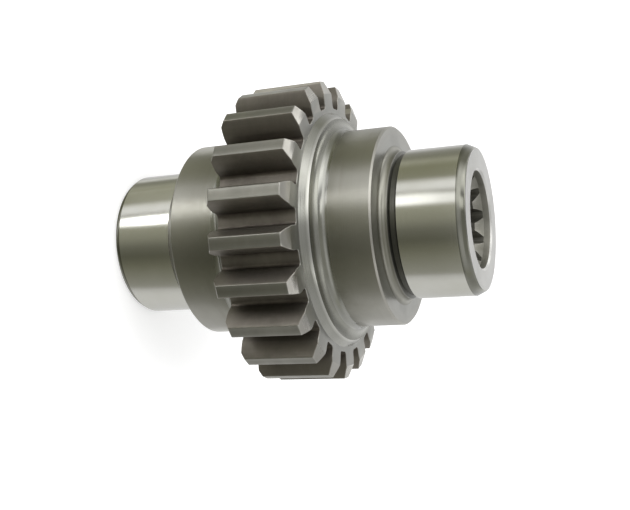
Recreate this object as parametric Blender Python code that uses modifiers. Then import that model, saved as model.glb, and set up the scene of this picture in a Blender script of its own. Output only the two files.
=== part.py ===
"""Pump drive gear.

A spur gear turned and hobbed in one piece with a collar, a hub and a bearing journal on
each side, and an involute spline broached through its middle. The part stands on its plain
end, with the wide-chamfered side of the teeth facing up. The origin is the centre of the
bottom end face, and one tooth points along -Y. Metres, +Z up.
"""
import math

import bmesh
import bpy
import numpy as np
from mathutils import Matrix, Vector

PART_NAME = "pump_drive_gear"

# Lengths along the axis, from the bottom end upwards
LOWER_JOURNAL_LENGTH = 0.0190
LOWER_HUB_LENGTH = 0.0155
GEAR_WIDTH = 0.0189
UPPER_HUB_LENGTH = 0.0148
UPPER_JOURNAL_LENGTH = 0.0192

# Gear teeth
TOOTH_COUNT = 21
TOOTH_MODULE = 0.003175
TOOTH_PRESSURE_ANGLE = math.radians(20.0)
TOOTH_ADDENDUM = 0.00258
TOOTH_DEDENDUM = 0.00394
TOOTH_BACKLASH = 0.0001
TOOTH_ROOT_FILLET = 0.0009
UPPER_RIM_CHAMFER_DEPTH = 0.0012
UPPER_RIM_CHAMFER_RISE = 0.0031
LOWER_RIM_CHAMFER_DEPTH = 0.0009
LOWER_RIM_CHAMFER_RISE = 0.0014

# Bearing journals. At the foot of each a short land stands before the relief groove.
JOURNAL_DIAMETER = 0.0350
UPPER_LEAD_IN_LENGTH = 0.0020
UPPER_LEAD_IN_DEPTH = 0.0008
LOWER_LEAD_IN_LENGTH = 0.0015
LOWER_LEAD_IN_DEPTH = 0.0007
JOURNAL_FOOT_FILLET = 0.0014
LAND_WIDTH = 0.0018
RELIEF_WIDTH = 0.0021
RELIEF_DEPTH = 0.0008
RELIEF_WALL_RUN = 0.0005

# Hubs. The shoulder is the step from a journal up to its hub.
SHOULDER_HEIGHT = 0.0060
HUB_BASE_FILLET = 0.0030
HUB_EDGE_CHAMFER = 0.0004

# Collar between the gear and each hub. Its sloping wall spreads by the flare down to the gear.
COLLAR_HEIGHT = 0.0018
COLLAR_FACE_WIDTH = 0.0002
COLLAR_EDGE_CHAMFER = 0.0004
COLLAR_FLARE = 0.0012

# Internal spline through the bore. The space width is measured on the pitch circle.
SPLINE_TOOTH_COUNT = 11
SPLINE_MODULE = 0.00175
SPLINE_PRESSURE_ANGLE = math.radians(30.0)
SPLINE_SPACE_WIDTH = 0.0032
SPLINE_LAND_DEPTH = 0.0004
SPLINE_SPACE_DEPTH = 0.0014
SPLINE_TURN = math.radians(-3.5)

# Tapered lead-in at both mouths of the bore, and the chamfer on the spline teeth behind it
BORE_LEAD_IN_LENGTH = 0.0018
BORE_LEAD_IN_MARGIN = 0.0004
SPLINE_CHAMFER_ANGLE = math.radians(45.0)

# How far a cutter reaches past the metal it removes
CUTTER_OVERRUN = 0.0015

# Fineness of the faceted solid
TURNED_STEPS = 84
BORE_STEPS = 44
ARC_STEPS = 5
FLANK_STEPS = 5
SPLINE_FLANK_STEPS = 3
SPLINE_LAND_STEPS = 2
MERGE_DISTANCE = 0.000001
SHARP_EDGE_ANGLE = math.radians(30.0)

PITCH_RADIUS = TOOTH_MODULE * TOOTH_COUNT / 2
TIP_RADIUS = PITCH_RADIUS + TOOTH_ADDENDUM
ROOT_RADIUS = PITCH_RADIUS - TOOTH_DEDENDUM
JOURNAL_RADIUS = JOURNAL_DIAMETER / 2
HUB_RADIUS = JOURNAL_RADIUS + SHOULDER_HEIGHT
COLLAR_FACE_RADIUS = HUB_RADIUS + HUB_BASE_FILLET + COLLAR_FACE_WIDTH
COLLAR_RADIUS = COLLAR_FACE_RADIUS + COLLAR_EDGE_CHAMFER
SPLINE_PITCH_RADIUS = SPLINE_MODULE * SPLINE_TOOTH_COUNT / 2
SPLINE_MINOR_RADIUS = SPLINE_PITCH_RADIUS - SPLINE_LAND_DEPTH
SPLINE_MAJOR_RADIUS = SPLINE_PITCH_RADIUS + SPLINE_SPACE_DEPTH
BORE_MOUTH_RADIUS = SPLINE_MAJOR_RADIUS + BORE_LEAD_IN_MARGIN

LOWER_HUB_FACE = LOWER_JOURNAL_LENGTH
GEAR_BOTTOM = LOWER_HUB_FACE + LOWER_HUB_LENGTH
GEAR_TOP = GEAR_BOTTOM + GEAR_WIDTH
UPPER_HUB_FACE = GEAR_TOP + UPPER_HUB_LENGTH
TOTAL_LENGTH = UPPER_HUB_FACE + UPPER_JOURNAL_LENGTH


def clear_scene():
    for old in list(bpy.data.objects):
        bpy.data.objects.remove(old, do_unlink=True)


def new_collection(name):
    group = bpy.data.collections.new(name)
    bpy.context.scene.collection.children.link(group)
    return group


def machined_steel():
    steel = bpy.data.materials.new("machined_steel")
    steel.use_nodes = True
    shader = steel.node_tree.nodes["Principled BSDF"]
    shader.inputs["Base Color"].default_value = (0.46, 0.46, 0.43, 1.0)
    shader.inputs["Metallic"].default_value = 1.0
    shader.inputs["Roughness"].default_value = 0.28
    return steel


def arc(centre, radius, start, end):
    """Points on an arc about centre, from the start angle to the end angle."""
    angles = np.linspace(start, end, ARC_STEPS + 1)
    return [(centre[0] + radius * math.cos(a), centre[1] + radius * math.sin(a)) for a in angles]


def side_profile(direction, journal_end, lead_in, hub_face, gear_face, rim_chamfer):
    """Outline (radius, height) of one side of the gear, from its journal's end to the rim.

    direction is 1 for the side above the gear and -1 for the side below it. lead_in and
    rim_chamfer are each a length along the axis and a step in radius.
    """
    quarter = math.pi / 2
    lead_in_length, lead_in_depth = lead_in
    rim_depth, rim_rise = rim_chamfer
    floor_radius = JOURNAL_RADIUS - RELIEF_DEPTH
    relief_start = hub_face + direction * LAND_WIDTH
    relief_end = relief_start + direction * RELIEF_WIDTH
    collar_face = gear_face + direction * COLLAR_HEIGHT

    points = [(0.0, journal_end), (JOURNAL_RADIUS - lead_in_depth, journal_end)]
    points.append((JOURNAL_RADIUS, journal_end - direction * lead_in_length))
    points.append((JOURNAL_RADIUS, relief_end))
    points.append((floor_radius, relief_end - direction * RELIEF_WALL_RUN))
    points.append((floor_radius, relief_start + direction * RELIEF_WALL_RUN))
    points.append((JOURNAL_RADIUS, relief_start))
    foot_centre = (JOURNAL_RADIUS + JOURNAL_FOOT_FILLET, hub_face + direction * JOURNAL_FOOT_FILLET)
    points += arc(foot_centre, JOURNAL_FOOT_FILLET, math.pi, math.pi + direction * quarter)
    points.append((HUB_RADIUS - HUB_EDGE_CHAMFER, hub_face))
    points.append((HUB_RADIUS, hub_face - direction * HUB_EDGE_CHAMFER))
    hub_centre = (HUB_RADIUS + HUB_BASE_FILLET, collar_face + direction * HUB_BASE_FILLET)
    points += arc(hub_centre, HUB_BASE_FILLET, math.pi, math.pi + direction * quarter)
    points.append((COLLAR_FACE_RADIUS, collar_face))
    points.append((COLLAR_RADIUS, collar_face - direction * COLLAR_EDGE_CHAMFER))
    points.append((COLLAR_RADIUS + COLLAR_FLARE, gear_face))
    points.append((TIP_RADIUS - rim_rise, gear_face))
    points.append((TIP_RADIUS, gear_face - direction * rim_depth))
    return points


def turned(name, profile, steps, group):
    """A solid of revolution about Z, from (radius, height) points that run from top to bottom."""
    mesh = bpy.data.meshes.new(name)
    body = bmesh.new()
    ring = [body.verts.new((radius, 0.0, height)) for radius, height in profile]
    for first, second in zip(ring, ring[1:]):
        body.edges.new((first, second))
    body.to_mesh(mesh)
    body.free()
    solid = bpy.data.objects.new(name, mesh)
    group.objects.link(solid)
    screw = solid.modifiers.new("turn", "SCREW")
    screw.axis = "Z"
    screw.angle = math.tau
    screw.steps = steps
    screw.render_steps = steps
    screw.use_merge_vertices = True
    screw.merge_threshold = MERGE_DISTANCE
    return solid


def involute(angle):
    return math.tan(angle) - angle


def flank_half_angle(radius, pitch_radius, pressure_angle, pitch_half_angle):
    """Half the angle that a tooth fills at a radius. Below the base circle it stays the same."""
    base_radius = pitch_radius * math.cos(pressure_angle)
    local = math.acos(min(1.0, base_radius / radius))
    return pitch_half_angle + involute(pressure_angle) - involute(local)


def polar(radius, angle):
    return (radius * math.cos(angle), radius * math.sin(angle))


def tooth_space_outline():
    """One space between two gear teeth, centred on +X, open past the tips."""
    half_pitch = math.pi / TOOTH_COUNT
    pitch_half = (math.pi * TOOTH_MODULE / 2 - TOOTH_BACKLASH) / (2 * PITCH_RADIUS)
    base_radius = PITCH_RADIUS * math.cos(TOOTH_PRESSURE_ANGLE)

    def space_half(radius):
        tooth = flank_half_angle(radius, PITCH_RADIUS, TOOTH_PRESSURE_ANGLE, pitch_half)
        return half_pitch - tooth

    outer = TIP_RADIUS + CUTTER_OVERRUN
    upper = [polar(outer, space_half(outer))]
    start_radius = max(base_radius, ROOT_RADIUS + TOOTH_ROOT_FILLET)
    for radius in np.linspace(TIP_RADIUS, start_radius, FLANK_STEPS + 1):
        upper.append(polar(radius, space_half(radius)))
    wall = space_half(start_radius)
    centre_radius = ROOT_RADIUS + TOOTH_ROOT_FILLET
    centre_angle = wall - math.asin(TOOTH_ROOT_FILLET / centre_radius)
    centre = polar(centre_radius, centre_angle)
    upper += arc(centre, TOOTH_ROOT_FILLET, wall + math.pi / 2, centre_angle + math.pi)
    lower = [(x, -y) for x, y in reversed(upper)]
    return upper + lower


def spline_outline():
    """The whole splined hole: wide spaces out to the major diameter, lands on the minor one."""
    pitch = math.tau / SPLINE_TOOTH_COUNT
    pitch_half = SPLINE_SPACE_WIDTH / (2 * SPLINE_PITCH_RADIUS)
    radii = np.linspace(SPLINE_MINOR_RADIUS, SPLINE_MAJOR_RADIUS, SPLINE_FLANK_STEPS + 1)

    def space_half(radius):
        return flank_half_angle(radius, SPLINE_PITCH_RADIUS, SPLINE_PRESSURE_ANGLE, pitch_half)

    points = []
    for index in range(SPLINE_TOOTH_COUNT):
        centre = index * pitch
        points += [polar(radius, centre - space_half(radius)) for radius in radii]
        points += [polar(radius, centre + space_half(radius)) for radius in radii[::-1]]
        land_start = centre + space_half(SPLINE_MINOR_RADIUS)
        land_end = centre + pitch - space_half(SPLINE_MINOR_RADIUS)
        for angle in np.linspace(land_start, land_end, SPLINE_LAND_STEPS + 1)[1:-1]:
            points.append(polar(SPLINE_MINOR_RADIUS, angle))
    return points


def extruded(name, outline, bottom, top, group):
    """A flat outline drawn as a filled curve, extruded between two heights and made a mesh."""
    curve = bpy.data.curves.new(name, "CURVE")
    curve.dimensions = "2D"
    curve.fill_mode = "BOTH"
    curve.extrude = (top - bottom) / 2
    line = curve.splines.new("POLY")
    line.points.add(len(outline) - 1)
    for point, (x, y) in zip(line.points, outline):
        point.co = (x, y, 0.0, 1.0)
    line.use_cyclic_u = True
    drawn = bpy.data.objects.new(name + "_outline", curve)
    group.objects.link(drawn)
    drawn.location.z = (bottom + top) / 2
    bpy.context.view_layer.update()
    evaluated = drawn.evaluated_get(bpy.context.evaluated_depsgraph_get())
    mesh = bpy.data.meshes.new_from_object(evaluated)
    mesh.transform(drawn.matrix_world)
    bpy.data.objects.remove(drawn, do_unlink=True)
    weld(mesh)
    solid = bpy.data.objects.new(name, mesh)
    group.objects.link(solid)
    return solid


def weld(mesh):
    body = bmesh.new()
    body.from_mesh(mesh)
    bmesh.ops.remove_doubles(body, verts=body.verts, dist=MERGE_DISTANCE)
    bmesh.ops.recalc_face_normals(body, faces=body.faces)
    body.to_mesh(mesh)
    body.free()


def repeated_round_axis(solid, count):
    """Copies of a cutter's mesh at equal angles about Z, all in its own mesh."""
    body = bmesh.new()
    body.from_mesh(solid.data)
    everything = body.verts[:] + body.edges[:] + body.faces[:]
    bmesh.ops.spin(
        body,
        geom=everything,
        cent=(0.0, 0.0, 0.0),
        axis=(0.0, 0.0, 1.0),
        angle=math.tau * (count - 1) / count,
        steps=count - 1,
        use_duplicate=True,
    )
    body.to_mesh(solid.data)
    body.free()


def mark_as_cutter(solid):
    solid.hide_render = True
    solid.display_type = "WIRE"


def cut(solid, cutter):
    mark_as_cutter(cutter)
    boolean = solid.modifiers.new("cut_" + cutter.name, "BOOLEAN")
    boolean.operation = "DIFFERENCE"
    boolean.solver = "EXACT"
    boolean.object = cutter


def gear_blank(group):
    """The turned blank: journals, hubs, collars and the plain rim, without bore or teeth."""
    upper_lead_in = (UPPER_LEAD_IN_LENGTH, UPPER_LEAD_IN_DEPTH)
    lower_lead_in = (LOWER_LEAD_IN_LENGTH, LOWER_LEAD_IN_DEPTH)
    upper_rim = (UPPER_RIM_CHAMFER_DEPTH, UPPER_RIM_CHAMFER_RISE)
    lower_rim = (LOWER_RIM_CHAMFER_DEPTH, LOWER_RIM_CHAMFER_RISE)
    upper = side_profile(1, TOTAL_LENGTH, upper_lead_in, UPPER_HUB_FACE, GEAR_TOP, upper_rim)
    lower = side_profile(-1, 0.0, lower_lead_in, LOWER_HUB_FACE, GEAR_BOTTOM, lower_rim)
    return turned(PART_NAME, upper + lower[::-1], TURNED_STEPS, group)


def tooth_space_cutter(group):
    """All the spaces between the gear teeth. They pass over the collars without touching them."""
    outline = tooth_space_outline()
    bottom = GEAR_BOTTOM - CUTTER_OVERRUN
    top = GEAR_TOP + CUTTER_OVERRUN
    cutter = extruded("tooth_spaces", outline, bottom, top, group)
    half_pitch = math.pi / TOOTH_COUNT
    cutter.data.transform(Matrix.Rotation(half_pitch - math.pi / 2, 4, "Z"))
    repeated_round_axis(cutter, TOOTH_COUNT)
    return cutter


def spline_cutter(group):
    outline = spline_outline()
    cutter = extruded("spline", outline, -CUTTER_OVERRUN, TOTAL_LENGTH + CUTTER_OVERRUN, group)
    cutter.data.transform(Matrix.Rotation(SPLINE_TURN, 4, "Z"))
    return cutter


def bore_mouth_cutter(name, height, direction, group):
    """A stepped cone that opens the bore at an end face, with its point inside the bore."""
    lead_in_slope = BORE_LEAD_IN_MARGIN / BORE_LEAD_IN_LENGTH
    lid_height = height + direction * CUTTER_OVERRUN
    shoulder_height = height - direction * BORE_LEAD_IN_LENGTH
    point_depth = SPLINE_MAJOR_RADIUS / math.tan(SPLINE_CHAMFER_ANGLE)
    profile = [
        (0.0, lid_height),
        (BORE_MOUTH_RADIUS + CUTTER_OVERRUN * lead_in_slope, lid_height),
        (SPLINE_MAJOR_RADIUS, shoulder_height),
        (0.0, shoulder_height - direction * point_depth),
    ]
    return turned(name, profile[::direction], BORE_STEPS, group)


def finish(solid):
    """Shades the turned surfaces smooth and keeps the machined corners sharp."""
    bpy.context.view_layer.update()
    evaluated = solid.evaluated_get(bpy.context.evaluated_depsgraph_get())
    mesh = bpy.data.meshes.new_from_object(evaluated)
    solid.modifiers.clear()
    solid.data = mesh
    mesh.shade_smooth()
    mesh.set_sharp_from_angle(angle=SHARP_EDGE_ANGLE)
    mesh.materials.clear()
    mesh.materials.append(machined_steel())


def build():
    clear_scene()
    parts = new_collection(PART_NAME + "_parts")
    cutters = new_collection("cutters")
    gear = gear_blank(parts)
    cut(gear, tooth_space_cutter(cutters))
    cut(gear, spline_cutter(cutters))
    cut(gear, bore_mouth_cutter("upper_mouth", TOTAL_LENGTH, 1, cutters))
    cut(gear, bore_mouth_cutter("lower_mouth", 0.0, -1, cutters))
    finish(gear)


build()
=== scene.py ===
"""Looks of the pump drive gear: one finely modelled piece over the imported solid, with its
ground journals, turned hubs, faced ends, hobbed teeth and broached bore, each in its own
finish. The gear stands on its plain end, so the camera is rolled to match the photograph."""
import math

import bmesh
import bpy
from mathutils import Matrix, Vector


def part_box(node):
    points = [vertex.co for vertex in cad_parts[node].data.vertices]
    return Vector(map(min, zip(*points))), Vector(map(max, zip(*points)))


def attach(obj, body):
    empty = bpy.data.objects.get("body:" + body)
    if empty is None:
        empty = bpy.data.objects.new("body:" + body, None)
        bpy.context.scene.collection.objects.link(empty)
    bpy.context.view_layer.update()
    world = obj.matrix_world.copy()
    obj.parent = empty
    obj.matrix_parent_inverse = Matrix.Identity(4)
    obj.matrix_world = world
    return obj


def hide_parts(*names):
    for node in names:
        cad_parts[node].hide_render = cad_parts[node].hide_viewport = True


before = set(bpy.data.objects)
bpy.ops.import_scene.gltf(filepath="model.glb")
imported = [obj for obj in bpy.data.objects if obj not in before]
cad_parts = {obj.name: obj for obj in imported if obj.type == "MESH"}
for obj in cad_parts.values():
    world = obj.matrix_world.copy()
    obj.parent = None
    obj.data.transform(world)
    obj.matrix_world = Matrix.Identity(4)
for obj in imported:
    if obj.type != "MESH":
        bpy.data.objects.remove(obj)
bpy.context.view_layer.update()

NODE = "pump_drive_gear"

# Lengths along the shaft in metres, as are all lengths here. The upper journal takes the rest.
LOWER_JOURNAL_LENGTH = 0.0190
LOWER_HUB_LENGTH = 0.0155
GEAR_WIDTH = 0.0189
UPPER_HUB_LENGTH = 0.0148

# Heights of the faces, from the bottom end upwards
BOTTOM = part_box(NODE)[0].z
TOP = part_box(NODE)[1].z
LOWER_HUB_FACE = BOTTOM + LOWER_JOURNAL_LENGTH
GEAR_BOTTOM = LOWER_HUB_FACE + LOWER_HUB_LENGTH
GEAR_TOP = GEAR_BOTTOM + GEAR_WIDTH
UPPER_HUB_FACE = GEAR_TOP + UPPER_HUB_LENGTH

# Gear teeth. A rim chamfer is stated as its reach along the tip and its reach in from the tip.
TOOTH_COUNT = 21
MODULE = 0.003175
ADDENDUM = 0.00255
DEDENDUM = 0.00394
PITCH_RADIUS = MODULE * TOOTH_COUNT / 2
TIP_RADIUS = PITCH_RADIUS + ADDENDUM
ROOT_RADIUS = PITCH_RADIUS - DEDENDUM
PRESSURE_ANGLE = math.radians(20.0)
TOOTH_THICKNESS = 0.00489
ROOT_FILLET = 0.0009
UPPER_RIM_CHAMFER = (0.0012, 0.0031)
LOWER_RIM_CHAMFER = (0.0009, 0.0014)
TOOTH_EDGE_ROUND = 0.00018
HALF_PITCH = math.pi / TOOTH_COUNT

# Journals with their lead-ins, lands and relief grooves. A lead-in is its length and its depth.
JOURNAL_RADIUS = 0.0175
UPPER_LEAD_IN = (0.0020, 0.0008)
LOWER_LEAD_IN = (0.0015, 0.0007)
LAND_WIDTH = 0.0018
RELIEF_WIDTH = 0.0021
RELIEF_DEPTH = 0.0008
RELIEF_WALL_RUN = 0.0005
FOOT_FILLET = 0.0014
EDGE_BREAK = 0.0004

# Hubs and collars
HUB_RADIUS = 0.0235
HUB_EDGE_CHAMFER = 0.0004
HUB_BASE_FILLET = 0.0030
COLLAR_HEIGHT = 0.0018
COLLAR_FACE_WIDTH = 0.0002
COLLAR_EDGE_CHAMFER = 0.0004
COLLAR_WALL_SPREAD = 0.0012
COLLAR_FACE_RADIUS = HUB_RADIUS + HUB_BASE_FILLET + COLLAR_FACE_WIDTH
COLLAR_RADIUS = COLLAR_FACE_RADIUS + COLLAR_EDGE_CHAMFER
COLLAR_FOOT_RADIUS = COLLAR_RADIUS + COLLAR_WALL_SPREAD

# Splined bore
SPLINE_COUNT = 11
SPLINE_MODULE = 0.00175
SPLINE_INSIDE_PITCH = 0.0004
SPLINE_OUTSIDE_PITCH = 0.0014
SPLINE_PITCH_RADIUS = SPLINE_MODULE * SPLINE_COUNT / 2
SPLINE_MINOR_RADIUS = SPLINE_PITCH_RADIUS - SPLINE_INSIDE_PITCH
SPLINE_MAJOR_RADIUS = SPLINE_PITCH_RADIUS + SPLINE_OUTSIDE_PITCH
SPLINE_PRESSURE_ANGLE = math.radians(30.0)
SPLINE_SPACE_WIDTH = 0.0032
SPLINE_TURN = math.radians(-3.5)
MOUTH_CLEARANCE = 0.0004
MOUTH_RADIUS = SPLINE_MAJOR_RADIUS + MOUTH_CLEARANCE
MOUTH_DEPTH = 0.0018

# Fineness of the mesh. The turned steps are a whole number for each tooth, and their seam lies
# in the middle of a tooth space.
STEPS_PER_TOOTH = 12
TURNED_STEPS = STEPS_PER_TOOTH * TOOTH_COUNT
SEAM_ANGLE = -math.pi / 2 - HALF_PITCH
ARC_STEPS = 6
RIM_STEPS = 4
FILLET_STEPS = 9
ROOT_FLOOR_STEPS = 2
ROOT_FILLET_STEPS = 5
FLANK_STEPS = 9
TOOTH_EDGE_STEPS = 3
SPLINE_FLANK_STEPS = 5
SPLINE_LAND_STEPS = 4
BORE_STEPS = 132
SCREEN_STEPS = 96

# How far the cutters run past the ends, how near two points count as one, how far a face's
# middle may lie off its circle, and how far the mouth's cutter stays off the spline's spaces
OVERRUN = 0.0015
MERGE = 0.000001
RADIUS_SLACK = ROOT_FILLET / 9
SPACE_GAP = EDGE_BREAK / 9

# An edge of a tooth is rounded if it turns by more than the first angle, and any edge is shaded
# sharp if it turns by more than the second. A face looks up or down if its normal's share
# along the axis is more than the third value.
ROUNDED_FROM = math.radians(24)
SHARP_FROM = math.radians(32)
LEVEL_FROM = 0.5

# The collar's wall has a point in its profile at this share of its height, from its edge down. The
# fillet above it takes the collar's finish for this many steps, and below them a darker copy of it,
# painted shade in the corner.
RUBBED_SHARE = 0.15
FILLET_BRIGHT_STEPS = 4

# The photograph's camera, fitted to the rings of the shaft. It lies on its side, so that the
# upright shaft runs from left to right in the picture.
CAMERA_PLACE = Vector((-0.00593209, -0.22653756, 0.13375806))
CAMERA_RIGHT = Vector((0.08467388, 0.35726962, 0.93015523))
CAMERA_UP = Vector((-0.99527408, 0.07486310, 0.06184678))
FOCAL_LENGTH_MM = 56.651
SENSOR_WIDTH_MM = 36.0
CAMERA_CLIP_START = 0.01

# The piece's material slots, in the order of the rows of FINISHES
(GROUND, TURNED, END_FACE, SIDE_FACE, FLANK, TIP, CHAMFER, BORE, SHADED_GROOVE, COLLAR,
 SHADED_CORNER, LEAD_IN) = range(12)

# Colours of the steel at its worn edges, the last one kept dark for the lead-ins, and how fine most
# of its patches are
BRIGHT = (0.72, 0.71, 0.67)
RUBBED = (0.46, 0.45, 0.41)
DARK_EDGE = (0.28, 0.28, 0.245)
BROAD = 70.0
CLOSE = 110.0

# Each finish: its clean, dull and worn colours, its roughness where clean and where dull, the
# direction across its tool marks with their pitch, their relief, and its patches' fineness
FINISHES = [
    ("ground_journal", (0.62, 0.62, 0.57), (0.53, 0.53, 0.455), BRIGHT,
     (0.11, 0.18), ("height", 0.00012), 0.10, BROAD),
    ("turned_hub", (0.33, 0.325, 0.287), (0.25, 0.245, 0.205), RUBBED,
     (0.27, 0.37), ("height", 0.00022), 0.35, BROAD),
    ("faced_end", (0.72, 0.72, 0.70), (0.64, 0.64, 0.61), BRIGHT,
     (0.30, 0.40), ("radius", 0.00025), 0.25, BROAD),
    ("faced_side", (0.44, 0.44, 0.41), (0.335, 0.335, 0.31), RUBBED,
     (0.26, 0.36), ("radius", 0.00025), 0.30, BROAD),
    ("hobbed_flank", (0.21, 0.19, 0.165), (0.12, 0.105, 0.09), (0.42, 0.40, 0.35),
     (0.46, 0.60), ("height", 0.0006), 0.30, 130.0),
    ("tooth_tip", (0.215, 0.21, 0.178), (0.145, 0.14, 0.117), BRIGHT,
     (0.40, 0.52), ("height", 0.00035), 0.30, CLOSE),
    ("rim_chamfer", (0.38, 0.365, 0.325), (0.26, 0.25, 0.215), BRIGHT,
     (0.24, 0.34), ("radius", 0.00025), 0.12, CLOSE),
    ("broached_bore", (0.30, 0.295, 0.26), (0.20, 0.195, 0.165), (0.45, 0.44, 0.40),
     (0.40, 0.55), ("radius", 0.0004), 0.25, 120.0),
    # The upper relief groove's finish is painted dark, as painted shade in its recess
    ("painted_shade_groove", (0.14, 0.14, 0.12), (0.08, 0.08, 0.07), BRIGHT,
     (0.30, 0.42), ("height", 0.00022), 0.30, BROAD),
    ("turned_collar", (0.37, 0.37, 0.34), (0.28, 0.28, 0.245), BRIGHT,
     (0.15, 0.23), ("height", 0.00022), 0.15, BROAD),
    # A darker copy of the collar's finish, painted shade, for the fillet's half next to the collar's
    # face and that face
    ("painted_shade_corner", (0.31, 0.31, 0.275), (0.22, 0.22, 0.19), RUBBED,
     (0.20, 0.30), ("radius", 0.00025), 0.15, BROAD),
    ("turned_lead_in", (0.27, 0.27, 0.235), (0.19, 0.19, 0.155), DARK_EDGE,
     (0.11, 0.18), ("height", 0.00022), 0.15, BROAD),
]

# Where the noise of the patches and of the broad rings turns from clean to dull steel, how dull
# the broad rings get, and the shares of dullness and of fine rings in the roughness
PATCHES_BETWEEN = (0.35, 0.68)
BANDS_BETWEEN = (0.3, 0.7)
BANDS_DULL = 0.45
DULL_SHARE = 0.7
RINGS_SHARE = 0.3
SPECK_RELIEF = 0.25
RELIEF_HEIGHT = 0.00004

# Tool marks: the fineness of their wander, its reach as a share of their pitch, and the count
# of broad rings beside the fine ones. The specks are so many times finer than the patches.
WANDER_SCALE = 60.0
WANDER_SHARE = 0.8
BROAD_RINGS_RATE = 0.11
SPECK_FINENESS = 14.0

# Brightness of the screens round the gear, by the angle from the camera's side towards the
# photograph's top. Each row is an angle in degrees, a level and a warmth. The upright walls of
# the shaft reflect the lower screens, its flat faces and lead-ins the middle ones, and its
# chamfers and fillets the upper ones.
LOWER_LEVELS = [
    (-180, 0.74, 0.0), (-165, 0.72, 0.0), (-150, 0.68, 0.0), (-130, 0.72, 0.0), (-112, 0.76, 0.0),
    (-97, 0.76, 0.0), (-86, 0.64, 0.0), (-80, 0.36, 0.1), (-50, 0.24, 0.2), (-38, 0.18, 0.25),
    (-23, 0.12, 0.25), (-8, 0.17, 0.2), (8, 0.31, 0.2), (27, 0.40, 0.2), (32, 1.18, 0.0),
    (42, 1.18, 0.0), (47, 0.35, 0.1), (54, 1.0, 0.0), (63, 1.0, 0.0), (73, 0.30, 0.25),
    (95, 0.28, 0.30), (108, 0.42, 0.2), (120, 0.26, 0.2), (136, 0.32, 0.1), (152, 0.66, 0.0),
    (180, 0.82, 0.0),
]
MIDDLE_LEVELS = [
    (-180, 1.06, 0.0), (-165, 1.06, 0.0), (-150, 1.0, 0.0), (-135, 0.9, 0.0), (-120, 0.7, 0.0),
    (-100, 0.6, 0.0), (-86, 0.6, 0.1), (-70, 0.7, 0.0), (-55, 0.8, 0.0), (-30, 0.8, 0.0),
    (0, 0.6, 0.0), (20, 0.85, 0.0), (34, 1.8, 0.0), (80, 1.5, 0.0), (105, 0.5, 0.1),
    (130, 0.5, 0.1), (145, 0.7, 0.0), (160, 1.06, 0.0), (180, 1.06, 0.0),
]
UPPER_LEVELS = [
    (-180, 0.35, 0.0), (-168, 0.35, 0.0), (-157, 0.45, 0.0), (-146, 0.5, 0.0), (-132, 0.8, 0.0),
    (-120, 0.9, 0.0), (-105, 0.75, 0.0), (-77, 0.62, 0.0), (-45, 0.42, 0.1), (20, 0.38, 0.1),
    (46, 0.5, 0.0), (62, 1.9, 0.0), (78, 2.2, 0.0), (98, 1.15, 0.0), (114, 0.85, 0.0),
    (126, 0.7, 0.0), (142, 0.7, 0.0), (165, 0.35, 0.0), (180, 0.35, 0.0),
]
# The ceiling, by the place along X, first on the camera's side and then behind the gear
FRONT_CEILING = [
    (-0.9, 2.6, 0.0), (-0.48, 2.2, 0.0), (-0.22, 0.6, 0.0), (0.25, 0.5, 0.0), (0.5, 0.7, 0.0),
    (0.7, 1.4, 0.0), (0.9, 1.4, 0.0),
]
BACK_CEILING = [
    (-0.9, 0.45, 0.0), (-0.3, 0.45, 0.0), (-0.05, 0.32, 0.0), (0.27, 0.32, 0.0), (0.34, 2.3, 0.0),
    (0.42, 2.3, 0.0), (0.50, 0.5, 0.0), (0.9, 0.5, 0.0),
]
# Brighter windows in the screens: the middle and half width in degrees, the middle and half
# height in metres, and the level that they add
WINDOWS = [
    (40.0, 7.0, -0.15, 0.03, 0.85),
    (37.0, 5.0, -0.41, 0.01, 0.3),
    (42.2, 4.3, -0.52, 0.09, 4.4),
    (141.0, 4.0, -0.52, 0.10, 0.35),
    (88.0, 16.0, -0.52, 0.10, 0.16),
    (139.0, 12.0, -0.33, 0.05, 1.4),
    (-150.0, 12.0, -0.33, 0.05, 1.2),
    (150.0, 5.0, 1.00, 0.34, 2.2),
    (31.0, 7.0, 0.52, 0.14, 1.4),
]
WINDOW_EDGE_DEGREES = 4.0
WINDOW_EDGE_HEIGHT = 0.05
STRONGEST_LEVEL = 3.2

# The ring of screens, how far its lower levels lean for each metre up, and the heights over
# which one set of levels fades into the next. The ceiling's two halves fade along Y.
SCREEN_RADIUS = 0.9
SCREEN_HALF_HEIGHT = 1.4
SCREEN_LEAN = math.radians(9.0)
MIDDLE_LEVELS_FROM = (0.0, 0.12)
UPPER_LEVELS_FROM = (0.33, 0.45)
CEILING_FROM = (1.30, 1.39)
CEILING_TURNS_AT = (0.15, 0.45)

# The floor gives off a little light of its own where it is seen, so it stays white. The world
# lights what isn't seen directly a little less than it shows itself.
FLOOR_REACH = 6.0
FLOOR_COLOUR = (0.86, 0.86, 0.86, 1.0)
FLOOR_ROUGHNESS = 0.9
FLOOR_LIFT = 0.42
WORLD_WHITE = (1.0, 1.0, 1.0, 1.0)
FILL_LEVEL = 0.85

# The one lamp, a soft square above the gear on the camera's side
SOFTBOX_PLACE = (-0.25, -0.35, 0.9)
SOFTBOX_SIZE = 0.7
SOFTBOX_POWER = 5.0


def polar(radius, angle, height=0.0):
    return Vector((radius * math.cos(angle), radius * math.sin(angle), height))


def arc(centre, radius, start, end, steps=ARC_STEPS):
    """Points on an arc about centre, from the start angle to the end angle."""
    turns = [start + (end - start) * step / steps for step in range(steps + 1)]
    return [(centre[0] + radius * math.cos(a), centre[1] + radius * math.sin(a)) for a in turns]


def involute(angle):
    return math.tan(angle) - angle


def flank_half_angle(radius, pitch_radius, pressure_angle, width):
    """Half the angle that a tooth, as wide as stated at the pitch circle, fills at a radius."""
    base = pitch_radius * math.cos(pressure_angle)
    local = math.acos(min(1.0, base / radius))
    return width / (2 * pitch_radius) + involute(pressure_angle) - involute(local)


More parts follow.
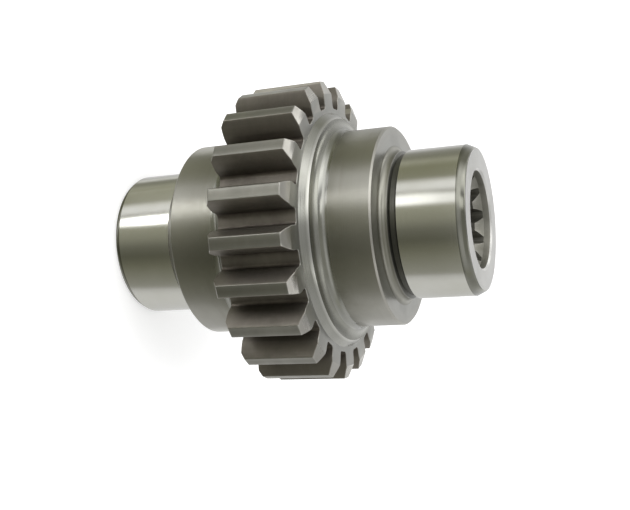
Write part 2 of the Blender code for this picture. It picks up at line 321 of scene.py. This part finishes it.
def turn(body, points, finish):
    """Adds a chain of (radius, height) points spun once round the axis, in one finish."""
    ring = bmesh.new()
    chain = [ring.verts.new(polar(radius, SEAM_ANGLE, height)) for radius, height in points]
    edges = [ring.edges.new(pair) for pair in zip(chain, chain[1:])]
    bmesh.ops.spin(
        ring, geom=chain + edges, cent=(0, 0, 0), axis=(0, 0, 1),
        angle=math.tau, steps=TURNED_STEPS, use_merge=True,
    )
    for face in ring.faces:
        face.material_index = finish
    mesh = bpy.data.meshes.new("turned")
    ring.to_mesh(mesh)
    ring.free()
    body.from_mesh(mesh)
    bpy.data.meshes.remove(mesh)


def turn_side(body, direction, end, lead_in, hub_face, gear_face):
    """Everything turned on one side of the teeth. direction is 1 above them and -1 below."""
    quarter = math.pi / 2
    length, depth = lead_in
    end_radius = JOURNAL_RADIUS - depth
    relief_start = hub_face + direction * LAND_WIDTH
    relief_end = relief_start + direction * RELIEF_WIDTH
    floor = JOURNAL_RADIUS - RELIEF_DEPTH
    collar_face = gear_face + direction * COLLAR_HEIGHT
    edge = (end_radius - EDGE_BREAK, end - direction * EDGE_BREAK)
    rim = arc(edge, EDGE_BREAK, direction * quarter, direction * quarter / 4, RIM_STEPS)
    journal_top = (JOURNAL_RADIUS, end - direction * length)
    journal_foot = (JOURNAL_RADIUS, relief_end)
    groove = [
        journal_foot,
        (floor, relief_end - direction * RELIEF_WALL_RUN),
        (floor, relief_start + direction * RELIEF_WALL_RUN),
        (JOURNAL_RADIUS, relief_start),
    ]
    foot = (JOURNAL_RADIUS + FOOT_FILLET, hub_face + direction * FOOT_FILLET)
    land = [groove[-1]] + arc(foot, FOOT_FILLET, math.pi, math.pi + direction * quarter)
    hub_rim = (HUB_RADIUS - HUB_EDGE_CHAMFER, hub_face)
    base = (HUB_RADIUS + HUB_BASE_FILLET, collar_face + direction * HUB_BASE_FILLET)
    fillet = arc(base, HUB_BASE_FILLET, math.pi, math.pi + direction * quarter, FILLET_STEPS)
    hub = [hub_rim, (HUB_RADIUS, hub_face - direction * HUB_EDGE_CHAMFER), fillet[0]]
    face_edge = (COLLAR_FACE_RADIUS, collar_face)
    wall_edge = (COLLAR_RADIUS, collar_face - direction * COLLAR_EDGE_CHAMFER)
    wall_foot = (COLLAR_FOOT_RADIUS, gear_face)
    rubbed_to = [top + (low - top) * RUBBED_SHARE for top, low in zip(wall_edge, wall_foot)]
    collar = [face_edge, wall_edge, rubbed_to, wall_foot]
    turn(body, rim + [journal_top], LEAD_IN)
    turn(body, [journal_top, journal_foot], GROUND)
    # The upper relief groove takes a dark finish, painted shade in its recess, and the lower one the
    # pale end face's finish, painted light over the shade of its recess
    turn(body, groove, SHADED_GROOVE if direction > 0 else END_FACE)
    turn(body, land, TURNED)
    turn(body, [land[-1], hub_rim], SIDE_FACE)
    turn(body, hub, TURNED)
    # The fillet's steps next to the hub take the collar's finish, and the rest a darker copy of it,
    # painted shade in the corner
    turn(body, fillet[:FILLET_BRIGHT_STEPS + 1], COLLAR)
    turn(body, fillet[FILLET_BRIGHT_STEPS:] + [face_edge], SHADED_CORNER)
    turn(body, collar, COLLAR)


def tooth_outline():
    """One tooth, centred on +X, from the middle of one space to the middle of the next."""
    def half(radius):
        return flank_half_angle(radius, PITCH_RADIUS, PRESSURE_ANGLE, TOOTH_THICKNESS)

    start = max(PITCH_RADIUS * math.cos(PRESSURE_ANGLE), ROOT_RADIUS + ROOT_FILLET)
    wall = half(start)
    centre_radius = ROOT_RADIUS + ROOT_FILLET
    centre_angle = wall + math.asin(ROOT_FILLET / centre_radius)
    centre = polar(centre_radius, centre_angle)
    upper = []
    for step in range(ROOT_FLOOR_STEPS):
        angle = HALF_PITCH - (HALF_PITCH - centre_angle) * step / ROOT_FLOOR_STEPS
        upper.append(polar(ROOT_RADIUS, angle).to_2d())
    turns = (centre_angle + math.pi, wall + 3 * math.pi / 2)
    upper += [Vector(point) for point in arc(centre, ROOT_FILLET, *turns, ROOT_FILLET_STEPS)]
    for step in range(1, FLANK_STEPS + 1):
        radius = start + (TIP_RADIUS - start) * step / FLANK_STEPS
        upper.append(polar(radius, half(radius)).to_2d())
    tip = half(TIP_RADIUS)
    top = [polar(TIP_RADIUS, angle).to_2d() for angle in (tip / 2, 0.0, -tip / 2)]
    lower = [Vector((point.x, -point.y)) for point in reversed(upper)]
    return upper + top + lower


def plane_cut(body, point, normal, finish):
    """Cuts off what lies past a plane and closes the cut with one face."""
    everything = body.verts[:] + body.edges[:] + body.faces[:]
    cut = bmesh.ops.bisect_plane(
        body, geom=everything, dist=MERGE, plane_co=point, plane_no=normal, clear_outer=True
    )["geom_cut"]
    edges = [part for part in cut if isinstance(part, bmesh.types.BMEdge)]
    for face in bmesh.ops.contextual_create(body, geom=edges)["faces"]:
        face.material_index = finish


def raise_outline(body, outline, bottom, height):
    """A solid with one outline all the way up."""
    face = body.faces.new([body.verts.new((p.x, p.y, bottom)) for p in outline])
    raised = bmesh.ops.extrude_face_region(body, geom=[face])["geom"]
    verts = [part for part in raised if isinstance(part, bmesh.types.BMVert)]
    bmesh.ops.translate(body, verts=verts, vec=(0, 0, height))


def tooth(body):
    """A tooth with its share of the gear's two side faces, open towards its neighbours."""
    outline = tooth_outline()
    for step in range(STEPS_PER_TOOTH + 1):
        angle = -HALF_PITCH + HALF_PITCH * 2 * step / STEPS_PER_TOOTH
        outline.append(polar(COLLAR_FOOT_RADIUS, angle))
    raise_outline(body, outline, GEAR_BOTTOM, GEAR_TOP - GEAR_BOTTOM)
    hidden = []
    for face in body.faces:
        centre = face.calc_center_median()
        radius = math.hypot(centre.x, centre.y)
        if abs(face.normal.z) > LEVEL_FROM:
            face.material_index = SIDE_FACE
        elif radius < ROOT_RADIUS - RADIUS_SLACK:
            hidden.append(face)
        elif radius > TIP_RADIUS - RADIUS_SLACK:
            face.material_index = TIP
        else:
            face.material_index = FLANK
    bmesh.ops.delete(body, geom=hidden, context="FACES")
    for height, direction, (along, inwards) in (
        (GEAR_TOP, 1, UPPER_RIM_CHAMFER),
        (GEAR_BOTTOM, -1, LOWER_RIM_CHAMFER),
    ):
        point = (TIP_RADIUS, 0, height - direction * along)
        plane_cut(body, point, Vector((along, 0, direction * inwards)).normalized(), CHAMFER)
    bmesh.ops.recalc_face_normals(body, faces=body.faces)
    inside = [edge for edge in body.edges if not edge.is_boundary]
    bmesh.ops.bevel(
        body, geom=[edge for edge in inside if edge.calc_face_angle() > ROUNDED_FROM],
        offset=TOOTH_EDGE_ROUND, offset_type="OFFSET", segments=TOOTH_EDGE_STEPS,
        profile=0.5, affect="EDGES", clamp_overlap=True, material=-1,
    )


def gear_teeth():
    """All the teeth: the one on +X turned to point along -Y, and copies of it round the axis."""
    body = bmesh.new()
    tooth(body)
    everything = body.verts[:] + body.edges[:] + body.faces[:]
    bmesh.ops.rotate(
        body, verts=body.verts, cent=(0, 0, 0), matrix=Matrix.Rotation(-math.pi / 2, 3, "Z")
    )
    bmesh.ops.spin(
        body, geom=everything, cent=(0, 0, 0), axis=(0, 0, 1), use_duplicate=True,
        angle=math.tau - 2 * HALF_PITCH, steps=TOOTH_COUNT - 1,
    )
    return body


def finished_mesh(name, body):
    """Merges the doubles, turns every face outwards and hands the mesh over."""
    bmesh.ops.remove_doubles(body, verts=body.verts, dist=MERGE)
    bmesh.ops.recalc_face_normals(body, faces=body.faces)
    mesh = bpy.data.meshes.new(name)
    body.to_mesh(mesh)
    body.free()
    return mesh


def add_object(name, data):
    piece = bpy.data.objects.new(name, data)
    bpy.context.scene.collection.objects.link(piece)
    return piece


def add_body(name, body, material):
    """An object of a body as it is, in one material."""
    mesh = bpy.data.meshes.new(name)
    body.to_mesh(mesh)
    body.free()
    mesh.materials.append(material)
    return add_object(name, mesh)


def give_finishes(piece, finishes):
    for material in finishes:
        piece.data.materials.append(material)


def end_faces_and_bore(finishes):
    """A plain bar between the two end faces, bored and broached, and then without its side."""
    body = bmesh.new()
    lower = JOURNAL_RADIUS - LOWER_LEAD_IN[1] - EDGE_BREAK
    upper = JOURNAL_RADIUS - UPPER_LEAD_IN[1] - EDGE_BREAK
    bmesh.ops.create_cone(
        body, cap_ends=True, segments=TURNED_STEPS, radius1=lower, radius2=upper,
        depth=TOP - BOTTOM, matrix=Matrix.Translation((0, 0, (BOTTOM + TOP) / 2)),
    )
    for face in body.faces:
        face.material_index = END_FACE
    bar = add_object("bored_bar", finished_mesh("bored_bar", body))
    give_finishes(bar, finishes)
    cutters = [spline_cutter(), mouth_cutter(TOP, 1), mouth_cutter(BOTTOM, -1)]
    for cutter in cutters:
        give_finishes(cutter, finishes)
        for face in cutter.data.polygons:
            inside = face.center.to_2d().length < MOUTH_RADIUS
            face.material_index = BORE if inside else END_FACE
        cut(bar, cutter)
    apply_modifiers(bar)
    for cutter in cutters:
        bpy.data.objects.remove(cutter, do_unlink=True)
    body = bmesh.new()
    body.from_mesh(bar.data)
    bpy.data.objects.remove(bar, do_unlink=True)
    side = []
    for face in body.faces:
        middle = face.calc_center_median()
        outside = middle.to_2d().length > (lower + MOUTH_RADIUS) / 2
        if outside and abs(face.normal.z) < LEVEL_FROM:
            side.append(face)
    bmesh.ops.delete(body, geom=side, context="FACES")
    return body


def spline_outline():
    """The bore's outline, space after space, each with the land that follows it."""
    pitch = math.tau / SPLINE_COUNT
    depth = SPLINE_MAJOR_RADIUS - SPLINE_MINOR_RADIUS
    steps = range(SPLINE_FLANK_STEPS + 1)
    radii = [SPLINE_MINOR_RADIUS + depth * step / SPLINE_FLANK_STEPS for step in steps]

    def half(radius):
        return flank_half_angle(
            radius, SPLINE_PITCH_RADIUS, SPLINE_PRESSURE_ANGLE, SPLINE_SPACE_WIDTH
        )

    points = []
    for index in range(SPLINE_COUNT):
        centre = index * pitch + SPLINE_TURN
        points += [polar(radius, centre - half(radius)) for radius in radii]
        points.append(polar(SPLINE_MAJOR_RADIUS, centre))
        points += [polar(radius, centre + half(radius)) for radius in reversed(radii)]
        land = pitch - 2 * half(SPLINE_MINOR_RADIUS)
        edge = centre + half(SPLINE_MINOR_RADIUS)
        for step in range(1, SPLINE_LAND_STEPS):
            points.append(polar(SPLINE_MINOR_RADIUS, edge + land * step / SPLINE_LAND_STEPS))
    return points


def spline_cutter():
    body = bmesh.new()
    raise_outline(body, spline_outline(), BOTTOM - OVERRUN, TOP - BOTTOM + 2 * OVERRUN)
    return add_object("spline_cutter", finished_mesh("spline_cutter", body))


def mouth_cutter(end, direction):
    """Lead-in taper at one mouth of the bore, with the chamfer that it leaves on the spline."""
    slope = (MOUTH_RADIUS - SPLINE_MAJOR_RADIUS) / MOUTH_DEPTH
    shoulder = end - direction * MOUTH_DEPTH
    profile = [
        (0.0, end + direction * OVERRUN),
        (MOUTH_RADIUS + EDGE_BREAK + OVERRUN, end + direction * OVERRUN),
        (MOUTH_RADIUS + EDGE_BREAK, end),
        (MOUTH_RADIUS - EDGE_BREAK * slope, end - direction * EDGE_BREAK),
        (SPLINE_MAJOR_RADIUS + SPACE_GAP, shoulder),
        (0.0, shoulder - direction * SPLINE_MAJOR_RADIUS),
    ]
    body = bmesh.new()
    chain = [body.verts.new((radius, 0, height)) for radius, height in profile]
    edges = [body.edges.new(pair) for pair in zip(chain, chain[1:])]
    bmesh.ops.spin(
        body, geom=chain + edges, cent=(0, 0, 0), axis=(0, 0, 1),
        angle=math.tau, steps=BORE_STEPS, use_merge=True,
    )
    name = "upper_mouth_cutter" if direction > 0 else "lower_mouth_cutter"
    return add_object(name, finished_mesh(name, body))


def cut(piece, cutter):
    """Takes the cutter's form out of the piece, and leaves its finishes on the cut."""
    boolean = piece.modifiers.new(cutter.name, "BOOLEAN")
    boolean.operation = "DIFFERENCE"
    boolean.solver = "EXACT"
    boolean.material_mode = "TRANSFER"
    boolean.object = cutter


def apply_modifiers(piece):
    evaluated = piece.evaluated_get(bpy.context.evaluated_depsgraph_get())
    mesh = bpy.data.meshes.new_from_object(evaluated)
    piece.modifiers.clear()
    piece.data = mesh


def drive_gear(finishes):
    """The whole gear as one closed mesh: teeth, both turned sides, end faces and bore."""
    inside = finished_mesh("gear_inside", end_faces_and_bore(finishes))
    body = gear_teeth()
    turn_side(body, 1, TOP, UPPER_LEAD_IN, UPPER_HUB_FACE, GEAR_TOP)
    turn_side(body, -1, BOTTOM, LOWER_LEAD_IN, LOWER_HUB_FACE, GEAR_BOTTOM)
    body.from_mesh(inside)
    piece = add_object("drive_gear", finished_mesh("drive_gear", body))
    give_finishes(piece, finishes)
    piece.data.shade_smooth()
    piece.data.set_sharp_from_angle(angle=SHARP_FROM)
    weighted = piece.modifiers.new("weighted_normals", "WEIGHTED_NORMAL")
    weighted.keep_sharp = True
    return piece


def new_group(name, inputs, outputs):
    """A shader node group with named sockets, and its input and output nodes."""
    group = bpy.data.node_groups.new(name, "ShaderNodeTree")
    for label, kind, value in inputs:
        socket = group.interface.new_socket(label, in_out="INPUT", socket_type=kind)
        if value is not None:
            socket.default_value = value
    for label, kind in outputs:
        group.interface.new_socket(label, in_out="OUTPUT", socket_type=kind)
    return group, group.nodes.new("NodeGroupInput"), group.nodes.new("NodeGroupOutput")


def add_node(tree, kind, settings=None, **links):
    """A node with its settings, whose inputs are values or other nodes' outputs. An input goes
    by its name, with _ for each space, or by its number after a _."""
    node = tree.nodes.new(kind)
    for key, value in (settings or {}).items():
        setattr(node, key, value)
    for key, value in links.items():
        key = int(key[1:]) if key[0] == "_" and key[1:].isdigit() else key.replace("_", " ")
        if isinstance(value, bpy.types.NodeSocket):
            tree.links.new(value, node.inputs[key])
        else:
            node.inputs[key].default_value = value
    return node


def math_node(tree, operation, first, second=0.0):
    return add_node(tree, "ShaderNodeMath", {"operation": operation}, _0=first, _1=second).outputs[0]


def lathe_marks_group():
    """Fine rings left by the tool, from a place across them: the height or the radius."""
    group, given, result = new_group(
        "lathe_marks",
        [("Across", "NodeSocketFloat", 0.0), ("Pitch", "NodeSocketFloat", 0.0002),
         ("Vector", "NodeSocketVector", None)],
        [("Rings", "NodeSocketFloat"), ("Bands", "NodeSocketFloat")],
    )
    across = math_node(group, "DIVIDE", given.outputs["Across"], given.outputs["Pitch"])
    wander = add_node(
        group, "ShaderNodeTexNoise",
        Vector=given.outputs["Vector"], Scale=WANDER_SCALE, Detail=2.0,
    )
    drift = math_node(group, "MULTIPLY", wander.outputs["Fac"], WANDER_SHARE)
    place = math_node(group, "ADD", across, drift)
    slow = math_node(group, "MULTIPLY", place, BROAD_RINGS_RATE)
    line = {"noise_dimensions": "1D"}
    fine = add_node(group, "ShaderNodeTexNoise", line, W=place, Scale=1.0, Detail=3.0)
    broad = add_node(group, "ShaderNodeTexNoise", line, W=slow, Scale=1.0, Detail=2.0)
    group.links.new(fine.outputs["Fac"], result.inputs["Rings"])
    group.links.new(broad.outputs["Fac"], result.inputs["Bands"])
    return group


def tarnish_group():
    """Soft uneven patches of oil film and handling, with a few finer specks."""
    group, given, result = new_group(
        "tarnish",
        [("Vector", "NodeSocketVector", None), ("Scale", "NodeSocketFloat", BROAD)],
        [("Patches", "NodeSocketFloat"), ("Specks", "NodeSocketFloat")],
    )
    patches = add_node(
        group, "ShaderNodeTexNoise",
        Vector=given.outputs["Vector"], Scale=given.outputs["Scale"], Detail=4.0, Roughness=0.6,
    )
    speck_scale = math_node(group, "MULTIPLY", given.outputs["Scale"], SPECK_FINENESS)
    specks = add_node(
        group, "ShaderNodeTexNoise",
        Vector=given.outputs["Vector"], Scale=speck_scale, Detail=3.0, Roughness=0.7,
    )
    group.links.new(patches.outputs["Fac"], result.inputs["Patches"])
    group.links.new(specks.outputs["Fac"], result.inputs["Specks"])
    return group


def edge_wear_group():
    """Where the steel is rubbed bright: the convex edges, from the curvature of the mesh."""
    group, given, result = new_group(
        "edge_wear",
        [("Start", "NodeSocketFloat", 0.51), ("Full", "NodeSocketFloat", 0.58)],
        [("Wear", "NodeSocketFloat")],
    )
    curvature = group.nodes.new("ShaderNodeNewGeometry").outputs["Pointiness"]
    worn = add_node(
        group, "ShaderNodeMapRange", {"clamp": True},
        Value=curvature, From_Min=given.outputs["Start"], From_Max=given.outputs["Full"],
    )
    group.links.new(worn.outputs["Result"], result.inputs["Wear"])
    return group


def place_across(tree, coordinates, along):
    """The height up the shaft, or the distance from its axis."""
    parts = add_node(tree, "ShaderNodeSeparateXYZ", Vector=coordinates)
    if along == "height":
        return parts.outputs["Z"]
    x_squared = math_node(tree, "MULTIPLY", parts.outputs["X"], parts.outputs["X"])
    y_squared = math_node(tree, "MULTIPLY", parts.outputs["Y"], parts.outputs["Y"])
    return math_node(tree, "SQRT", math_node(tree, "ADD", x_squared, y_squared))


def blend_colours(tree, amount, first, second):
    """From the first colour to the second. 6, 7 and 2 are a Mix node's colour sockets."""
    node = add_node(tree, "ShaderNodeMix", {"data_type": "RGBA"}, Factor=amount)
    for socket, value in ((node.inputs[6], first), (node.inputs[7], second)):
        if isinstance(value, bpy.types.NodeSocket):
            tree.links.new(value, socket)
        else:
            socket.default_value = (*value, 1.0)
    return node.outputs[2]


def span(tree, value, low, high, start=0.0, end=1.0):
    """Goes from low to high while the value goes from start to end."""
    node = add_node(
        tree, "ShaderNodeMapRange", {"clamp": True},
        Value=value, From_Min=start, From_Max=end, To_Min=low, To_Max=high,
    )
    return node.outputs["Result"]


def steel(groups, name, clean, dull, worn, roughness, marks, relief, fineness):
    """One finish of the steel, from a row of FINISHES."""
    material = bpy.data.materials.new(name)
    material.use_nodes = True
    tree = material.node_tree
    shader = tree.nodes["Principled BSDF"]
    shader.inputs["Metallic"].default_value = 1.0
    coordinates = tree.nodes.new("ShaderNodeTexCoord").outputs["Object"]
    along, pitch = marks
    across = place_across(tree, coordinates, along)
    rings = add_node(
        tree, "ShaderNodeGroup", {"node_tree": groups["marks"]},
        Across=across, Pitch=pitch, Vector=coordinates,
    )
    stain = add_node(
        tree, "ShaderNodeGroup", {"node_tree": groups["tarnish"]},
        Vector=coordinates, Scale=fineness,
    )
    wear = add_node(tree, "ShaderNodeGroup", {"node_tree": groups["wear"]}).outputs["Wear"]
    patches = span(tree, stain.outputs["Patches"], 0.0, 1.0, *PATCHES_BETWEEN)
    bands = span(tree, rings.outputs["Bands"], 0.0, BANDS_DULL, *BANDS_BETWEEN)
    dullness = math_node(tree, "MAXIMUM", patches, bands)
    colour = blend_colours(tree, dullness, clean, dull)
    colour = blend_colours(tree, wear, colour, worn)
    tree.links.new(colour, shader.inputs["Base Color"])
    from_dullness = math_node(tree, "MULTIPLY", dullness, DULL_SHARE)
    from_rings = math_node(tree, "MULTIPLY", rings.outputs["Rings"], RINGS_SHARE)
    uneven = math_node(tree, "ADD", from_dullness, from_rings)
    tree.links.new(span(tree, uneven, *roughness), shader.inputs["Roughness"])
    specks = math_node(tree, "MULTIPLY", stain.outputs["Specks"], SPECK_RELIEF)
    height = math_node(tree, "ADD", rings.outputs["Rings"], specks)
    bump = add_node(
        tree, "ShaderNodeBump", Strength=relief, Distance=RELIEF_HEIGHT, Height=height
    )
    tree.links.new(bump.outputs["Normal"], shader.inputs["Normal"])
    return material


def steel_finishes():
    groups = {"marks": lathe_marks_group(), "tarnish": tarnish_group(), "wear": edge_wear_group()}
    return [steel(groups, *row) for row in FINISHES]


def show_both(tree, first, second):
    """Sends the sum of two shaders to the material's surface."""
    both = tree.nodes.new("ShaderNodeAddShader")
    tree.links.new(first.outputs[0], both.inputs[0])
    tree.links.new(second.outputs[0], both.inputs[1])
    tree.links.new(both.outputs[0], tree.nodes["Material Output"].inputs["Surface"])


def seen_directly(tree):
    """1 where the camera looks, by itself or in the steel, and 0 for light on other things."""
    rays = tree.nodes.new("ShaderNodeLightPath")
    seen = math_node(tree, "MAXIMUM", rays.outputs["Is Camera Ray"], rays.outputs["Is Glossy Ray"])
    return math_node(tree, "MAXIMUM", seen, rays.outputs["Is Transmission Ray"])


def level_ramp(tree, place, low, high, levels):
    """Colour by a place between low and high, from rows of a place, a level and a warmth."""
    ramp = add_node(tree, "ShaderNodeValToRGB", Fac=span(tree, place, 0.0, 1.0, low, high))
    stops = ramp.color_ramp.elements
    for index, (value, level, warmth) in enumerate(levels):
        share = (value - levels[0][0]) / (levels[-1][0] - levels[0][0])
        stop = stops[index] if index < 2 else stops.new(share)
        stop.position = share
        grey = level / STRONGEST_LEVEL
        stop.color = (grey, grey, grey * (1 - warmth), 1.0)
    return ramp.outputs["Color"]


def window_level(tree, angle, height, window):
    """What one soft-edged window adds at an angle and a height on the screens."""
    middle, half, middle_height, half_height, level = window
    off = math_node(tree, "ABSOLUTE", math_node(tree, "SUBTRACT", angle, math.radians(middle)))
    above = math_node(tree, "ABSOLUTE", math_node(tree, "SUBTRACT", height, middle_height))
    edge = math.radians(half), math.radians(half + WINDOW_EDGE_DEGREES)
    across = span(tree, off, level, 0.0, *edge)
    upwards = span(tree, above, 1.0, 0.0, half_height, half_height + WINDOW_EDGE_HEIGHT)
    return math_node(tree, "MULTIPLY", across, upwards)


def screens_material():
    """Three sets of levels up the walls, the ceiling's two halves, and the windows on top."""
    material = bpy.data.materials.new("studio_screens")
    material.use_nodes = True
    tree = material.node_tree
    tree.nodes.remove(tree.nodes["Principled BSDF"])
    coordinates = tree.nodes.new("ShaderNodeTexCoord").outputs["Object"]
    parts = add_node(tree, "ShaderNodeSeparateXYZ", Vector=coordinates)
    height = parts.outputs["Z"]
    minus_x = math_node(tree, "MULTIPLY", parts.outputs["X"], -1.0)
    minus_y = math_node(tree, "MULTIPLY", parts.outputs["Y"], -1.0)
    angle = math_node(tree, "ARCTAN2", minus_x, minus_y)
    leaning = math_node(tree, "ADD", angle, math_node(tree, "MULTIPLY", height, SCREEN_LEAN))
    round_about = (-math.pi, math.pi)
    lower = level_ramp(tree, leaning, *round_about, LOWER_LEVELS)
    middle = level_ramp(tree, angle, *round_about, MIDDLE_LEVELS)
    upper = level_ramp(tree, angle, *round_about, UPPER_LEVELS)
    walls = blend_colours(tree, span(tree, height, 0.0, 1.0, *MIDDLE_LEVELS_FROM), lower, middle)
    walls = blend_colours(tree, span(tree, height, 0.0, 1.0, *UPPER_LEVELS_FROM), walls, upper)
    across = (-SCREEN_RADIUS, SCREEN_RADIUS)
    front = level_ramp(tree, parts.outputs["X"], *across, FRONT_CEILING)
    back = level_ramp(tree, parts.outputs["X"], *across, BACK_CEILING)
    behind = span(tree, parts.outputs["Y"], 0.0, 1.0, *CEILING_TURNS_AT)
    overhead = blend_colours(tree, behind, front, back)
    ceiling = span(tree, height, 0.0, 1.0, *CEILING_FROM)
    levels = tree.nodes.new("ShaderNodeEmission")
    tree.links.new(blend_colours(tree, ceiling, walls, overhead), levels.inputs["Color"])
    levels.inputs["Strength"].default_value = STRONGEST_LEVEL
    added = 0.0
    for window in WINDOWS:
        added = math_node(tree, "ADD", window_level(tree, angle, height, window), added)
    panes = tree.nodes.new("ShaderNodeEmission")
    tree.links.new(added, panes.inputs["Strength"])
    show_both(tree, levels, panes)
    return material


def studio_screens():
    """A ring of screens that only the steel's reflections see, brighter and darker by turns."""
    body = bmesh.new()
    bmesh.ops.create_cone(
        body, cap_ends=True, segments=SCREEN_STEPS, radius1=SCREEN_RADIUS,
        radius2=SCREEN_RADIUS, depth=2 * SCREEN_HALF_HEIGHT,
    )
    screens = add_body("studio_screens", body, screens_material())
    screens.visible_camera = False
    screens.visible_diffuse = False
    screens.visible_shadow = False
    screens.visible_transmission = False


def pale_floor():
    """A plain pale floor that stays white to the camera and still takes the gear's shadow."""
    material = bpy.data.materials.new("pale_floor")
    material.use_nodes = True
    tree = material.node_tree
    shader = tree.nodes["Principled BSDF"]
    shader.inputs["Base Color"].default_value = FLOOR_COLOUR
    shader.inputs["Roughness"].default_value = FLOOR_ROUGHNESS
    shader.inputs["Specular IOR Level"].default_value = 0.0
    lift = tree.nodes.new("ShaderNodeEmission")
    shown = math_node(tree, "MULTIPLY", seen_directly(tree), FLOOR_LIFT)
    tree.links.new(shown, lift.inputs["Strength"])
    show_both(tree, shader, lift)
    body = bmesh.new()
    bmesh.ops.create_grid(body, x_segments=1, y_segments=1, size=FLOOR_REACH)
    floor = add_body("pale_floor", body, material)
    floor.location.z = BOTTOM
    floor.visible_glossy = False


def world_light():
    """White to the camera and to the steel, and a softer fill on everything else."""
    world = bpy.data.worlds.new("studio")
    world.use_nodes = True
    tree = world.node_tree
    background = tree.nodes["Background"]
    background.inputs["Color"].default_value = WORLD_WHITE
    strength = span(tree, seen_directly(tree), FILL_LEVEL, 1.0)
    tree.links.new(strength, background.inputs["Strength"])
    bpy.context.scene.world = world


def overhead_softbox():
    """A soft lamp that points at the gear's middle and shows in no reflection."""
    light = bpy.data.lights.new("overhead_softbox", "AREA")
    light.shape = "SQUARE"
    light.size = SOFTBOX_SIZE
    light.energy = SOFTBOX_POWER
    lamp = add_object("overhead_softbox", light)
    lamp.location = SOFTBOX_PLACE
    middle = Vector((0, 0, (BOTTOM + TOP) / 2))
    lamp.rotation_euler = (lamp.location - middle).to_track_quat("Z", "Y").to_euler()
    lamp.visible_glossy = False


def photo_camera():
    """The fitted camera, with its axes made square to each other."""
    right = CAMERA_RIGHT.normalized()
    back = right.cross(CAMERA_UP).normalized()
    placed = Matrix((right, back.cross(right), back)).transposed().to_4x4()
    placed.translation = CAMERA_PLACE
    camera = bpy.data.cameras.new("photo_camera")
    camera.lens = FOCAL_LENGTH_MM
    camera.sensor_width = SENSOR_WIDTH_MM
    camera.clip_start = CAMERA_CLIP_START
    holder = add_object("photo_camera", camera)
    holder.matrix_world = placed
    bpy.context.scene.camera = holder


def main():
    gear = drive_gear(steel_finishes())
    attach(gear, "root")
    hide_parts(NODE)
    pale_floor()
    studio_screens()
    world_light()
    overhead_softbox()
    photo_camera()
    bpy.context.scene.view_settings.view_transform = "Standard"


main()
